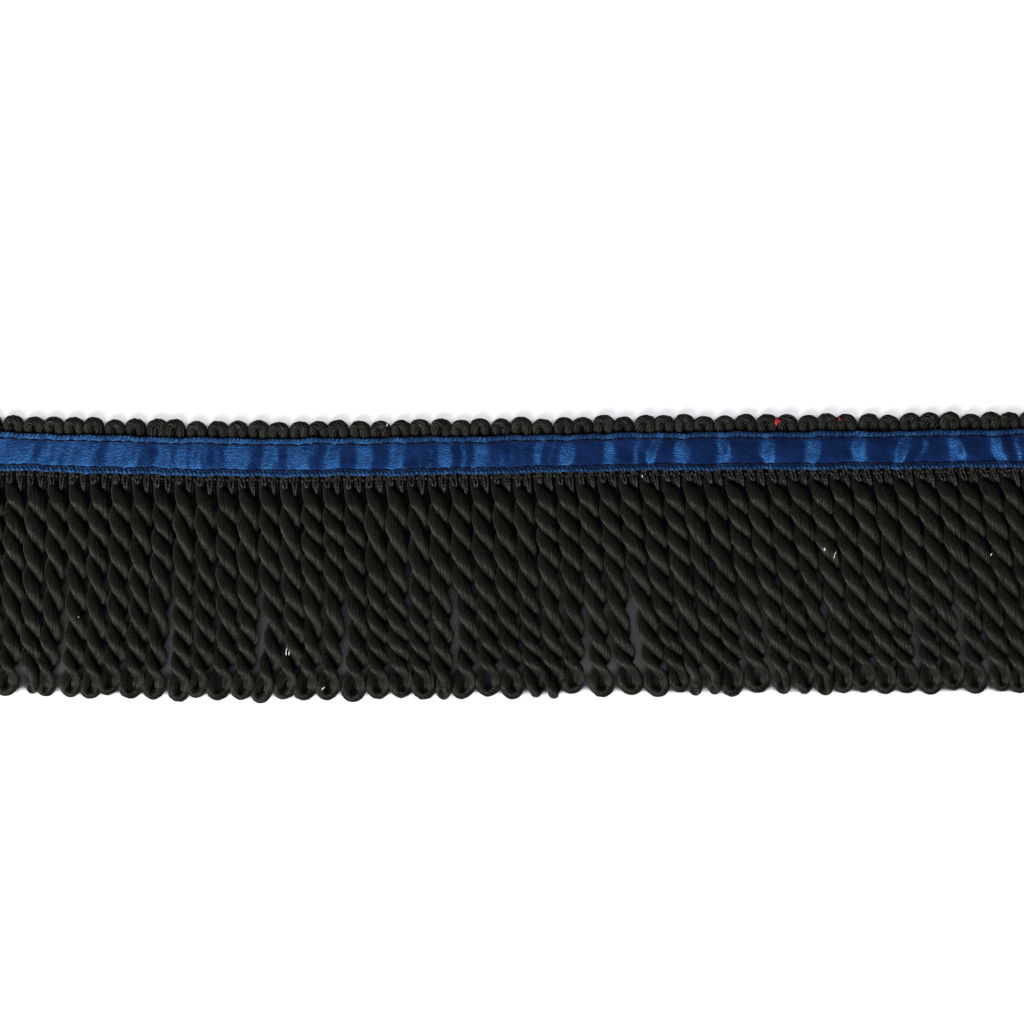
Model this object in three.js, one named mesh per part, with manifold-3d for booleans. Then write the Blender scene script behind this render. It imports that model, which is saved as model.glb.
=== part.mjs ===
// A cut length of bullion fringe trim, lying face up: a woven heading with a scalloped upper edge of gimp
// loops, a satin ribbon sewn along its face, and a skirt of twisted cords that end in loops.
// Millimetres. X runs along the trim, Y up its face and Z out of its face. It lies on a surface at Z = 0.
// The origin is on the heading's back, under the middle of the ribbon, halfway along.
import * as THREE from "three";
import { mergeVertices } from "three/addons/utils/BufferGeometryUtils.js";
import Module from "manifold-3d";

// Driving dimensions
const LENGTH = 292;
const GAP = 0.3;

const HEADING_THICKNESS = 2.4;
const HEADING_TOP = 2.4;
const HEADING_BOTTOM = -8.6;
const HEADING_ROUND = 0.8;

const RIBBON_WIDTH = 10;
const RIBBON_THICKNESS = 1;
const PUCKER_HEIGHT = 0.45;

const LOOP_COUNT = 54;
const LOOP_WIDTH = 4.9;
const LOOP_CREST = 9.4;
const LOOP_UNEVEN = 0.5;
const LOOP_BEVEL = 0.6;
const LOOP_BAR_TOP = 5.4;

const CORD_COUNT = 52;
const CORD_SIDES = 8;
const CORD_DROP = 64.6;
const CORD_UNEVEN = 0.7;
const SPINE_HEIGHT = 2.2;
const SPINE_THICKNESS = 2.6;

// A cord settles into a flat underside as it lies: its axis is this share of its radius above the surface.
const CORD_SETTLE = 0.88;

// How finely the long pieces are divided. Odd counts put a flat facet, not a joint, over the origin.
const BAND_STEPS = 25;
const RIBBON_STEPS = 59;
const WAVE_POINTS = 60;

const CORD_PITCH = LENGTH / CORD_COUNT;
const LOOP_PITCH = LENGTH / LOOP_COUNT;
const SPINE_TOP = HEADING_BOTTOM - GAP;
const CORD_TOP = SPINE_TOP - GAP;

// The trim lies in a soft wave: how far the heading rises above a straight line, at places along it.
const WAVE = [
  { along: -150, rise: 1.3 },
  { along: -102, rise: -0.1 },
  { along: -60, rise: -0.8 },
  { along: 0, rise: 0 },
  { along: 35, rise: 0.75 },
  { along: 100, rise: 1.2 },
  { along: 150, rise: 2.0 },
];

// How far cords swing sideways by their waist and foot. Cords between two rows share out the difference.
const SWING = [
  { cord: 2, waist: -0.8, foot: -2.4 },
  { cord: 3, waist: -1.1, foot: -1.3 },
  { cord: 4, waist: -1.9, foot: -3.2 },
  { cord: 5, waist: -0.8, foot: -2.1 },
  { cord: 7, waist: -1.3, foot: -3.5 },
  { cord: 9, waist: -1.5, foot: -2.8 },
  { cord: 10, waist: -0.7, foot: -1.5 },
  { cord: 11, waist: -0.2, foot: -2.3 },
  { cord: 13, waist: 0, foot: -1.8 },
  { cord: 14, waist: 1.3, foot: -2.1 },
  { cord: 15, waist: 1.1, foot: -1.6 },
  { cord: 16, waist: 0.3, foot: -1.8 },
  { cord: 17, waist: 0.3, foot: -1.3 },
  { cord: 18, waist: 1.3, foot: 0 },
  { cord: 19, waist: 0.8, foot: 1 },
  { cord: 21, waist: 0.8, foot: 1.8 },
  { cord: 22, waist: 1.1, foot: 1.3 },
  { cord: 23, waist: 2.4, foot: 1 },
  { cord: 25, waist: 2.4, foot: 3.1 },
  { cord: 26, waist: 2.3, foot: 3.3 },
  { cord: 28, waist: 2.5, foot: 2.2 },
  { cord: 30, waist: 3.8, foot: 6.2 },
  { cord: 31, waist: 5.9, foot: 7.8 },
  { cord: 32, waist: 5.6, foot: 8.1 },
  { cord: 33, waist: 5.3, foot: 6.7 },
  { cord: 35, waist: 4.8, foot: 5.3 },
  { cord: 37, waist: 6.1, foot: 7.4 },
  { cord: 38, waist: 5.9, foot: 7.4 },
  { cord: 39, waist: 5.1, foot: 7.1 },
  { cord: 40, waist: 5.9, foot: 6.6 },
  { cord: 42, waist: 5.9, foot: 6.6 },
  { cord: 43, waist: 5.5, foot: 6.8 },
  { cord: 44, waist: 6.5, foot: 7.3 },
  { cord: 45, waist: 6.5, foot: 7.6 },
  { cord: 46, waist: 7.6, foot: 8.1 },
  { cord: 47, waist: 7.7, foot: 9.4 },
  { cord: 48, waist: 7.5, foot: 8.6 },
];

// Where a cord's waist is, as a share of its way down.
const WAIST = 0.75;

// An uncrowded cord's half-width from its top, inside the spine, to the tip of its loop.
const CORD_PROFILE = [
  { share: 0, half: 0 },
  { share: 0.07, half: 2.6 },
  { share: WAIST, half: 2.35 },
  { share: 0.95, half: 2.5 },
  { share: 0.99, half: 1.4 },
  { share: 1, half: 0 },
];

// The ribbon's main puckers: where each crest is, its reach along the ribbon, and its share of the height.
const PUCKERS = [
  { crest: -128, reach: 9, share: 0.5 },
  { crest: -103, reach: 10, share: 0.8 },
  { crest: -84, reach: 5, share: 1 },
  { crest: -72, reach: 7, share: 0.7 },
  { crest: -57, reach: 6, share: 0.9 },
  { crest: -39, reach: 7, share: 0.8 },
  { crest: -18, reach: 7, share: 0.6 },
  { crest: -8, reach: 5, share: 0.8 },
  { crest: 14, reach: 7, share: 1 },
  { crest: 38, reach: 6, share: 0.8 },
  { crest: 57, reach: 6, share: 0.7 },
  { crest: 80, reach: 6, share: 0.9 },
  { crest: 92, reach: 6, share: 1 },
  { crest: 105, reach: 6, share: 0.9 },
  { crest: 118, reach: 6, share: 0.8 },
  { crest: 131, reach: 6, share: 0.9 },
];

const BLACK_YARN = { color: 0x1c1d19, roughness: 0.62, metalness: 0 };
const BLACK_GIMP = { color: 0x262724, roughness: 0.68, metalness: 0 };
const BLUE_SATIN = { color: 0x1f4a86, roughness: 0.4, metalness: 0 };

const wasm = await Module();
wasm.setup();

// The value of one column of a table at a place between its rows.
function between(table, place, column, at) {
  const next = table.findIndex((row) => row[place] >= at);
  if (next === 0) return table[0][column];
  if (next < 0) return table.at(-1)[column];
  const low = table[next - 1];
  const high = table[next];
  const share = (at - low[place]) / (high[place] - low[place]);
  return THREE.MathUtils.lerp(low[column], high[column], share);
}

const waveCurve = new THREE.SplineCurve(WAVE.map((row) => new THREE.Vector2(row.along, row.rise)));
const waveLine = waveCurve.getPoints(WAVE_POINTS).map((point) => ({ along: point.x, rise: point.y }));

function riseAt(along) {
  return between(waveLine, "along", "rise", along);
}

// A repeating unevenness between -1 and 1, so that no two neighbours match.
function uneven(index) {
  return Math.sin(2.4 * index) * Math.cos(0.9 * index);
}

// Moves every point of a shape by a function that changes it in place.
function reshape(geometry, change) {
  const places = geometry.getAttribute("position");
  const point = new THREE.Vector3();
  for (let i = 0; i < places.count; i += 1) {
    point.fromBufferAttribute(places, i);
    change(point);
    places.setXYZ(i, point.x, point.y, point.z);
  }
  return geometry;
}

// Lays a straight shape along the trim's wave.
function layOnWave(geometry) {
  return reshape(geometry, (point) => {
    point.y += riseAt(point.x);
  });
}

// A section drawn in Y and Z, run along the whole length in short steps.
function runAlong(section, steps) {
  const run = new THREE.ExtrudeGeometry(section, {
    depth: LENGTH,
    steps,
    bevelEnabled: false,
    curveSegments: 1,
  });
  run.translate(0, 0, -LENGTH / 2);
  run.rotateX(Math.PI / 2);
  run.rotateZ(Math.PI / 2);
  return run;
}

// A flat-backed section with rounded upper corners.
function bandSection(bottom, top, base, thickness, round) {
  const section = new THREE.Shape();
  const crown = base + thickness - round;
  section.moveTo(bottom, base);
  section.lineTo(top, base);
  section.lineTo(top, crown);
  section.absarc(top - round, crown, round, 0, Math.PI / 2);
  section.lineTo(bottom + round, crown + round);
  section.absarc(bottom + round, crown, round, Math.PI / 2, Math.PI);
  section.closePath();
  return section;
}

// The closed solid of a geometry, with shared points merged and flattened triangles dropped.
function solidOf(geometry) {
  geometry.deleteAttribute("normal");
  geometry.deleteAttribute("uv");
  const merged = mergeVertices(geometry, 1e-3);
  const corners = merged.index.array;
  const triangles = [];
  for (let i = 0; i < corners.length; i += 3) {
    const [a, b, c] = corners.slice(i, i + 3);
    if (a !== b && b !== c && c !== a) triangles.push(a, b, c);
  }
  const mesh = new wasm.Mesh({
    numProp: 3,
    vertProperties: merged.attributes.position.array,
    triVerts: new Uint32Array(triangles),
  });
  return new wasm.Manifold(mesh);
}

function geometryOf(solid) {
  const { vertProperties, triVerts } = solid.getMesh();
  const geometry = new THREE.BufferGeometry();
  geometry.setAttribute("position", new THREE.BufferAttribute(vertProperties, 3));
  geometry.setIndex(new THREE.BufferAttribute(triVerts, 1));
  geometry.computeVertexNormals();
  return geometry;
}

function headingTape() {
  const section = bandSection(HEADING_BOTTOM, HEADING_TOP, 0, HEADING_THICKNESS, HEADING_ROUND);
  return layOnWave(runAlong(section, BAND_STEPS));
}

// The ribbon is a thin sheet whose puckers lift it off the heading.
function satinRibbon() {
  const base = HEADING_THICKNESS + GAP;
  const half = RIBBON_WIDTH / 2;
  const section = bandSection(-half, half, base, RIBBON_THICKNESS, RIBBON_THICKNESS / 2);
  const ribbon = reshape(runAlong(section, RIBBON_STEPS), (point) => {
    for (const { crest, reach, share } of PUCKERS) {
      const away = Math.min(1, Math.abs(point.x - crest) / reach);
      point.z += PUCKER_HEIGHT * share * Math.cos((away * Math.PI) / 2) ** 2;
    }
  });
  return layOnWave(ribbon);
}

// The loops are one scalloped strip: a bar behind the ribbon with a round-topped tongue for each loop.
function scallopEdge() {
  const start = -LENGTH / 2;
  const base = HEADING_TOP + GAP;
  const half = LOOP_WIDTH / 2;
  const outline = new THREE.Shape();
  outline.moveTo(start, base);
  for (let i = 1; i <= BAND_STEPS; i += 1) {
    outline.lineTo(start + (i * LENGTH) / BAND_STEPS, base);
  }
  outline.lineTo(-start, LOOP_BAR_TOP);
  for (let i = LOOP_COUNT - 1; i >= 0; i -= 1) {
    const middle = start + (i + 0.5) * LOOP_PITCH;
    const centre = LOOP_CREST - half + LOOP_UNEVEN * uneven(i);
    outline.lineTo(middle + half, LOOP_BAR_TOP);
    outline.absarc(middle, centre, half, 0, Math.PI);
    outline.lineTo(middle - half, LOOP_BAR_TOP);
  }
  outline.lineTo(start, LOOP_BAR_TOP);
  outline.closePath();
  const edge = new THREE.ExtrudeGeometry(outline, {
    depth: HEADING_THICKNESS - 2 * LOOP_BEVEL,
    curveSegments: 2,
    bevelThickness: LOOP_BEVEL,
    bevelSize: LOOP_BEVEL,
    bevelOffset: -LOOP_BEVEL,
    bevelSegments: 1,
  });
  edge.translate(0, 0, LOOP_BEVEL);
  return layOnWave(edge);
}

function cordRoot(index) {
  return (index + 0.5) * CORD_PITCH - LENGTH / 2;
}

function cordFoot(index) {
  return cordRoot(index) + between(SWING, "cord", "foot", index);
}

// How much a cord is squeezed at its foot by the nearer of its neighbours there.
function crowding(index) {
  const left = cordFoot(index) - cordFoot(index - 1);
  const right = cordFoot(index + 1) - cordFoot(index);
  return Math.min(1, (Math.min(left, right) - GAP) / (CORD_PITCH - GAP));
}

// One cord, turned about its own axis, laid on the surface and swung sideways to its waist and foot.
function cordSolid(index) {
  const drop = CORD_DROP + CORD_UNEVEN * uneven(index) + CORD_TOP;
  const squeeze = crowding(index);
  const flatToCorner = Math.cos(Math.PI / CORD_SIDES);
  const profile = CORD_PROFILE.map(({ share, half }) => {
    const width = half * THREE.MathUtils.lerp(1, squeeze, share);
    return new THREE.Vector2(width / flatToCorner, -share * drop);
  });
  const cord = new THREE.LatheGeometry(profile.reverse(), CORD_SIDES, Math.PI / CORD_SIDES);
  const root = cordRoot(index);
  const route = [
    { share: 0, along: root },
    { share: WAIST, along: root + between(SWING, "cord", "waist", index) },
    { share: 1, along: cordFoot(index) },
  ];
  reshape(cord, (point) => {
    const radius = Math.hypot(point.x, point.z);
    point.x += between(route, "share", "along", -point.y / drop);
    point.z = Math.max(0, point.z + CORD_SETTLE * radius);
    point.y += CORD_TOP + riseAt(root);
  });
  return solidOf(cord);
}

// The skirt is one comb: a spine under the heading's lower edge with a tooth for each cord.
function bullionFringe() {
  const section = bandSection(SPINE_TOP - SPINE_HEIGHT, SPINE_TOP, 0, SPINE_THICKNESS, HEADING_ROUND);
  let comb = solidOf(layOnWave(runAlong(section, BAND_STEPS)));
  for (let i = 0; i < CORD_COUNT; i += 1) {
    comb = comb.add(cordSolid(i));
  }
  return geometryOf(comb);
}

const trim = new THREE.Group();

function fit(name, geometry, finish) {
  const piece = new THREE.Mesh(geometry, new THREE.MeshStandardMaterial(finish));
  piece.name = name;
  trim.add(piece);
}

fit("heading_tape", headingTape(), BLACK_YARN);
fit("scallop_edge", scallopEdge(), BLACK_GIMP);
fit("satin_ribbon", satinRibbon(), BLUE_SATIN);
fit("bullion_fringe", bullionFringe(), BLACK_YARN);

export default trim;
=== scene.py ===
"""Bullion fringe trim: twisted cords, a scalloped heading and a satin ribbon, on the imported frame."""

import math
from collections import namedtuple
from functools import partial

import bmesh
import bpy
import numpy as np
from bpy.props import FloatProperty, FloatVectorProperty, IntProperty, PointerProperty
from bpy.types import Operator, Panel, PropertyGroup
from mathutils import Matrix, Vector


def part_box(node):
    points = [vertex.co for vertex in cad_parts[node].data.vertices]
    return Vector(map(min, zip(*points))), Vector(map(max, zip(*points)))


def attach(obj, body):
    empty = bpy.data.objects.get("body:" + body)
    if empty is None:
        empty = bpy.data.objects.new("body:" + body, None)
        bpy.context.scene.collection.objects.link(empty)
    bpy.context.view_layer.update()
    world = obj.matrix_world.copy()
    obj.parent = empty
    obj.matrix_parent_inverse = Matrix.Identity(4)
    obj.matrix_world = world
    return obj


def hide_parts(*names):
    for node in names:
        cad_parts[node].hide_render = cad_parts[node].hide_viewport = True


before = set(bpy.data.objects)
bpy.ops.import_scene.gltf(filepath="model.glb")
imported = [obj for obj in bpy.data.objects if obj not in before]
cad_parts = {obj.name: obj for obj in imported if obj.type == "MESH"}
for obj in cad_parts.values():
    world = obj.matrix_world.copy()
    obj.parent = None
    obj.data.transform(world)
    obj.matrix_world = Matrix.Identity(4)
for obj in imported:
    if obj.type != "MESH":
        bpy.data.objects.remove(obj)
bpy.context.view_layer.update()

bl_info = {
    "name": "Bullion Fringe Trim",
    "version": (1, 0, 0),
    "blender": (4, 5, 0),
    "location": "3D View > Sidebar > Trim",
    "description": "Makes the yarn, ribbon and stage of a bullion fringe trim",
    "category": "Object",
}

MM = 0.001
TAPE_LOW, TAPE_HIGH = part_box("heading_tape")
SEED = 11

# Where the heading's lower edge would lie if the trim were straight, and how deep the heading is.
TAPE_FOOT = -8.6 * MM
HEADING_DEPTH = 11 * MM

# Heights of the middle of the plies where they are bound, of the cords below, and just above the loops.
BUNDLE_HEIGHT = 1.42 * MM
CORD_HEIGHT = 2.3 * MM
CORD_END_HEIGHT = 2.5 * MM

# No yarn goes lower than this, so that the trim lies on the floor.
LOWEST = 0.02 * MM

# How far cords swing sideways by their waist and foot, in millimetres, by cord number.
Swing = namedtuple("Swing", "cord waist foot")
SWING = [
    Swing(2, -0.8, -2.4),
    Swing(3, -1.1, -1.3),
    Swing(4, -1.9, -3.2),
    Swing(5, -0.8, -2.1),
    Swing(7, -1.3, -3.5),
    Swing(9, -1.5, -2.8),
    Swing(10, -0.7, -1.5),
    Swing(11, -0.2, -2.3),
    Swing(13, 0.0, -1.8),
    Swing(14, 1.3, -2.1),
    Swing(15, 1.1, -1.6),
    Swing(16, 0.3, -1.8),
    Swing(17, 0.3, -1.3),
    Swing(18, 1.3, 0.0),
    Swing(19, 0.8, 1.0),
    Swing(21, 0.8, 1.8),
    Swing(22, 1.1, 1.3),
    Swing(23, 2.4, 1.0),
    Swing(25, 2.4, 3.1),
    Swing(26, 2.3, 3.3),
    Swing(28, 2.5, 2.2),
    Swing(30, 3.8, 6.2),
    Swing(31, 5.9, 7.8),
    Swing(32, 5.6, 8.1),
    Swing(33, 5.3, 6.7),
    Swing(35, 4.8, 5.3),
    Swing(37, 6.1, 7.4),
    Swing(38, 5.9, 7.4),
    Swing(39, 5.1, 7.1),
    Swing(40, 5.9, 6.6),
    Swing(42, 5.9, 6.6),
    Swing(43, 5.5, 6.8),
    Swing(44, 6.5, 7.3),
    Swing(45, 6.5, 7.6),
    Swing(46, 7.6, 8.1),
    Swing(47, 7.7, 9.4),
    Swing(48, 7.5, 8.6),
]

# How far below the ribbon's middle a cord's waist is.
WAIST = 49.3 * MM

# The cords' quarter turns, and how far below the ribbon's middle each is reached, in millimetres.
TWIST = {0: 8.3, 1: 12.0, 3: 19.4, 5: 27.0, 7: 34.9, 9: 42.9, 11: 50.2, 13: 56.2, 13.8: 59.2, 14: 61.5}

# Where the cords' twist starts, below the ribbon's middle.
CORD_START = TWIST[0] * MM

# Angles round the loop at a cord's tip.
LOOP_ANGLES = np.linspace(0, np.pi, 14)[1:-1]

# Loops that lie turned on edge or small, as a share of a full loop's width, by cord number.
NARROW_LOOPS = {3: 0.52, 22: 0.52, 26: 0.45, 27: 0.3, 33: 0.37, 34: 0.25, 37: 0.52, 38: 0.6, 39: 0.6}

# The ribbon's puckers: the bright rise from start to crest, in millimetres along the trim,
# how steep it is, how far the crease leans to the right across the ribbon, and the height at its start.
Pucker = namedtuple("Pucker", "start crest steep lean foot", defaults=[0.0])
PUCKERS = [
    Pucker(-145.0, -139.0, 0.06, 0.3),
    Pucker(-136.5, -127.6, 0.08, 0.4),
    Pucker(-124.0, -120.4, 0.14, 0.4),
    Pucker(-118.0, -110.8, 0.10, 0.3),
    Pucker(-107.4, -99.2, 0.11, 0.2),
    Pucker(-93.9, -90.7, 0.18, 0.2),
    Pucker(-88.9, -86.6, 0.20, 0.2, 0.20),
    Pucker(-84.9, -82.9, 0.24, 0.1, 0.32),
    Pucker(-75.7, -69.9, 0.14, 0.2),
    Pucker(-66.1, -62.7, 0.18, 0.2),
    Pucker(-59.2, -53.3, 0.16, 0.3),
    Pucker(-49.9, -45.6, 0.20, 0.2),
    Pucker(-41.3, -37.1, 0.22, 0.1),
    Pucker(-32.8, -29.1, 0.22, 0.1),
    Pucker(-19.2, -15.6, 0.20, 0.1),
    Pucker(-13.9, -12.3, 0.26, 0.1),
    Pucker(-10.4, -6.7, 0.24, 0.2),
    Pucker(6.4, 8.8, 0.30, 0.1),
    Pucker(9.3, 10.9, 0.32, 0.3),
    Pucker(12.3, 16.3, 0.30, 0.3),
    Pucker(24.5, 27.5, 0.34, 0.0),
    Pucker(32.0, 34.1, 0.30, 0.2),
    Pucker(35.5, 38.9, 0.36, 0.3),
    Pucker(42.9, 46.4, 0.32, 0.1),
    Pucker(54.4, 58.1, 0.40, 0.0),
    Pucker(66.1, 69.6, 0.42, -0.1),
    Pucker(77.6, 81.6, 0.42, 0.2),
    Pucker(89.9, 94.4, 0.42, 0.0),
    Pucker(101.6, 105.6, 0.46, 0.5),
    Pucker(107.5, 110.1, 0.30, 0.4),
    Pucker(115.5, 120.0, 0.46, -0.3),
    Pucker(126.9, 131.2, 0.48, -0.3),
    Pucker(132.8, 135.5, 0.36, 0.0),
    Pucker(139.0, 142.0, 0.48, 0.1),
    Pucker(145.6, 150.0, 0.02, 0.0),
]

# Stray fibres caught on the trim: middle, length and thickness in millimetres, direction in degrees.
Stray = namedtuple("Stray", "colour along up length thick turn")
STRAYS = [
    Stray("red", 70.3, 7.9, 2.2, 0.9, 84),
    Stray("red", 70.7, 8.1, 1.4, 0.7, 105),
    Stray("red", 71.2, 7.9, 0.9, 0.3, 20),
    Stray("red", 87.0, 8.5, 1.2, 0.5, 118),
    Stray("lint", -33.1, 8.5, 0.9, 0.3, 70),
    Stray("lint", 34.6, -6.4, 0.8, 0.3, 95),
    Stray("lint", 82.8, -26.0, 1.2, 0.5, 83),
    Stray("lint", 85.6, -27.6, 2.3, 0.3, 70),
    Stray("lint", -59.6, -51.2, 2.4, 0.35, 80),
    Stray("lint", -58.9, -51.6, 1.6, 0.3, 75),
    Stray("lint", -50.0, -61.2, 1.4, 0.35, 45),
    Stray("lint", -114.7, -43.3, 0.7, 0.35, 85),
    Stray("lint", 126.9, -28.0, 1.0, 0.3, 60),
]

# Height of the trim's face by how far up it is from the ribbon's middle, in millimetres.
FACE_HEIGHTS = {-62: 2.9, -57: 4.6, -12: 4.75, -6: 3.3, 0: 2.3, 6: 2.85}


def metres(name, description, default):
    """A length property."""
    return FloatProperty(
        name=name, description=description, default=default, min=0.0, precision=5, unit="LENGTH"
    )


def number(name, description, default, subtype="NONE"):
    """A plain number or an angle."""
    return FloatProperty(name=name, description=description, default=default, subtype=subtype)


def whole(name, description, default):
    """A count of like things."""
    return IntProperty(name=name, description=description, default=default, min=4)


def tint(name, description, default):
    """A colour property, in linear values."""
    return FloatVectorProperty(
        name=name, description=description, default=default, min=0.0, max=1.0, subtype="COLOR"
    )


class TrimSizes(PropertyGroup):
    """Sizes of the trim's yarns and ribbon."""

    length: metres("Length", "Cut length of the trim", TAPE_HIGH.x - TAPE_LOW.x)
    cord_count: whole("Cords", "Twisted cords in the skirt", 52)
    cord_drop: metres("Cord drop", "From the ribbon's middle to the tip of a cord", 64.6 * MM)
    cord_uneven: metres("Cord unevenness", "How much longer or shorter a cord is", 0.7 * MM)
    ply_offset: metres("Ply offset", "From a cord's axis to the middle of a ply", 1.44 * MM)
    ply_depth: metres("Ply depth", "Half thickness of a ply, outwards from the cord's axis", 1.45 * MM)
    ply_width: metres("Ply width", "Half width of a ply, around the cord", 1.62 * MM)
    ply_tilt: number("Ply tilt", "How far a ply leans over its neighbour below", 0.22, "ANGLE")
    tip_ply: metres("Tip ply", "Half thickness of the ply in the loop at the tip", 1.17 * MM)
    tip_loop: metres("Tip loop", "Radius of the loop at the tip, to the middle of the ply", 1.94 * MM)
    foot_ply: metres("Footing ply", "Half thickness of a ply where it leaves the heading", 1.22 * MM)
    foot_offset: metres("Footing offset", "From a cord's middle to its plies in the heading", 1.4 * MM)
    linger: number("Linger", "How much longer a ply stays over and under its cord's axis", 0.12)
    filaments: whole("Filaments", "Bundles of filaments in a ply", 12)
    filament_lean: number("Filament lean", "Turns of the filaments for each turn of the ply", 1.85)
    loop_count: whole("Scallops", "Gimp loops along the top", 54)
    loop_crest: metres("Scallop crest", "From the ribbon's middle to the top of a scallop", 9.75 * MM)
    loop_uneven: metres("Scallop unevenness", "How much taller or lower a scallop is", 0.28 * MM)
    loop_radius: metres("Scallop radius", "Radius of a scallop, to the middle of the gimp", 1.40 * MM)
    loop_squash: number("Scallop squash", "Height of a scallop's arch as a share of its radius", 0.62)
    gimp_radius: metres("Gimp radius", "Half thickness of the gimp", 1.30 * MM)
    binding_radius: metres("Binding radius", "Half thickness of the binding thread", 0.38 * MM)
    knot_drop: metres("Knot drop", "From the ribbon's middle down to the row of knots", 5.9 * MM)
    knot_pitch: metres("Knot pitch", "From one knot under the ribbon to the next", 1.1 * MM)
    knot_radius: metres("Knot radius", "Half thickness of a knot", 0.36 * MM)
    ribbon_width: metres("Ribbon width", "Width of the ribbon", 10.0 * MM)
    ribbon_length: metres("Ribbon length", "Length of the ribbon before it puckers", 294.0 * MM)
    ribbon_thickness: metres("Ribbon thickness", "Thickness of the ribbon", 0.25 * MM)
    ribbon_seat: metres("Ribbon seat", "Height of the ribbon's face over the floor", 2.95 * MM)
    stitch_line: metres("Stitch line", "From the ribbon's middle to its stitching", 3.4 * MM)
    stitch_length: metres("Stitch length", "From one stitch to the next", 3.1 * MM)
    stitch_radius: metres("Stitch radius", "Half thickness of the sewing thread", 0.22 * MM)
    float_line: metres("Selvedge line", "From the ribbon's middle to the selvedge's middle", 4.42 * MM)
    float_pitch: metres("Selvedge pitch", "From one selvedge float to the next", 1.15 * MM)
    float_slant: metres("Selvedge slant", "Half the run of a float along the ribbon", 0.42 * MM)
    float_reach: metres("Selvedge reach", "Half the run of a float across the ribbon", 0.56 * MM)
    float_radius: metres("Selvedge radius", "Half thickness of a float", 0.36 * MM)
    ground_thickness: metres("Ground thickness", "Thickness of the heading's woven ground", 0.25 * MM)


class TrimColours(PropertyGroup):
    """Colours of the trim's yarns and ribbon."""

    # In the cords and the gimp, the dark ends of these colours are partly painted shade in the furrows
    # between filament bundles, and the light ends partly painted light on their ridges; the rest is the
    # yarn's own streaks and dashes.
    cord_dark: tint("Cord, dark", "Cord yarn between its filaments", (0.0022, 0.0024, 0.0014))
    cord_light: tint("Cord, light", "Cord yarn along its filaments", (0.0058, 0.0062, 0.0040))
    gimp_dark: tint("Gimp, dark", "Gimp between its threads", (0.0024, 0.0025, 0.0018))
    gimp_light: tint("Gimp, light", "Gimp along its threads", (0.0190, 0.0193, 0.0160))
    binding: tint("Binding", "Thread that binds the heading", (0.0190, 0.0193, 0.0160))
    satin_dark: tint("Satin, dark", "Satin in its shade", (0.0020, 0.0057, 0.0245))
    satin_light: tint("Satin, light", "Satin along its floats", (0.0056, 0.0155, 0.0660))
    selvedge_dark: tint("Selvedge, dark", "Ribbon's edges between their floats", (0.0044, 0.0140, 0.0420))
    selvedge_light: tint("Selvedge, light", "Floats of the ribbon's edges", (0.0088, 0.0280, 0.0770))
    stitch: tint("Stitching", "Thread that sews the ribbon down", (0.0040, 0.0034, 0.0170))
    lint: tint("Lint", "Pale fibres caught on the trim", (0.6000, 0.5900, 0.5700))
    red: tint("Red thread", "Red thread ends caught on the scallops", (0.3600, 0.0180, 0.0200))
    floor: tint("Floor", "Plain floor", (0.2400, 0.2380, 0.2360))
    # The floor's glow is painted light: the floor shines by itself, so that the shadows on it stay pale.
    glow: tint("Floor glow", "Light that comes through the floor", (0.7200, 0.7280, 0.7500))


# Curves and chance


def ease(at, places, values):
    """A smooth curve through the rows of a table, level beyond its ends."""
    places = np.asarray(places, float)
    values = np.asarray(values, float)
    at = np.asarray(at, float)
    slopes = np.gradient(values, places)
    row = np.clip(np.searchsorted(places, at) - 1, 0, len(places) - 2)
    step = places[row + 1] - places[row]
    share = np.clip((at - places[row]) / step, 0, 1)
    rest = 1 - share
    ends = values[row] * (1 + 2 * share) * rest**2 + values[row + 1] * share**2 * (3 - 2 * share)
    bends = slopes[row] * share * rest**2 - slopes[row + 1] * share**2 * rest
    return ends + step * bends


def soft_steps(at, places, values):
    """Soft steps from row to row of a table, level at each row."""
    places = np.asarray(places, float)
    values = np.asarray(values, float)
    row = np.clip(np.searchsorted(places, at) - 1, 0, len(places) - 2)
    share = np.clip((at - places[row]) / (places[row + 1] - places[row]), 0, 1)
    return values[row] + (values[row + 1] - values[row]) * share**2 * (3 - 2 * share)


def soft_ramps(at, places, values, corner):
    """Straight ramps from row to row of a table, with corners rounded over a short run."""
    shifts = corner * np.linspace(-0.5, 0.5, 7)
    return np.mean([np.interp(at + shift, places, values) for shift in shifts], axis=0)


def unit(vectors):
    """Vectors of the same directions, one unit long."""
    return vectors / np.linalg.norm(vectors, axis=-1, keepdims=True)


def jitter(chance, amount, count=None):
    """A chance shift of up to an amount either way."""
    return amount * chance.uniform(-1, 1, count)


def round_ends(share):
    """How thick a short thread is from one end, at -1, to the other, at 1."""
    return np.sqrt(1.05 - share**2)


def uneven(index):
    """A repeating unevenness between -1 and 1, so that no two neighbours match."""
    return np.sin(2.4 * index) * np.cos(0.9 * index)


def heading_wave():
    """Places along the heading, and how far its lower edge rises there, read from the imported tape."""
    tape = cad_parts["heading_tape"].data
    points = np.array([vertex.co for vertex in tape.vertices])
    places = np.unique(points[:, 0].round(6))
    edge = [points[abs(points[:, 0] - place) < 1e-6, 1].min() for place in places]
    return places, np.array(edge) - TAPE_FOOT


WAVE_PLACES, WAVE_RISES = heading_wave()


def rise_at(along):
    """How far the heading rises above a straight line."""
    return ease(along, WAVE_PLACES, WAVE_RISES)


# Yarn


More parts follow.
